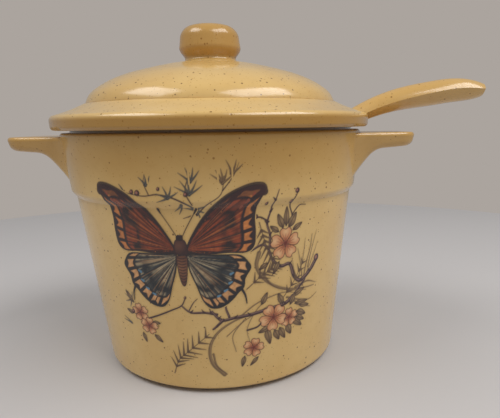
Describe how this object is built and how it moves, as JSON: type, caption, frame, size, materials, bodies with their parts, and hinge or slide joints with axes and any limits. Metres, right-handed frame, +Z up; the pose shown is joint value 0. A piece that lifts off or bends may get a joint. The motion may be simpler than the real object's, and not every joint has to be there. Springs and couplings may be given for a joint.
{
  "type": "soup tureen",
  "caption": "Round ceramic soup tureen with lug handles, a notched domed lid with a knob, and a ladle whose handle comes out through the notch.",
  "frame": {"origin": "centre of the foot, on the plane the pot stands on", "axes": "+Z up, X along the two lug handles with the ladle towards +X, -Y the printed front"},
  "size_m": [0.3352, 0.224, 0.238],
  "materials": {
    "glazed_pot": "glossy speckled sand glaze with a transfer print",
    "glazed_lid": "glossy speckled sand glaze",
    "glazed_ladle": "glossy speckled sand glaze"
  },
  "bodies": {
    "pot": {"pot": "glazed_pot"},
    "ladle": {"ladle": "glazed_ladle"},
    "lid": {"lid": "glazed_lid"}
  },
  "joints": [
    {"name": "ladle_lift", "type": "slide", "parent": "pot", "child": "ladle", "axis": [0, 0, 1], "range_m": [0, 0.165]},
    {"name": "lid_lift", "type": "slide", "parent": "ladle", "child": "lid", "axis": [0, 0, 1], "range_m": [0, 0.08]}
  ]
}
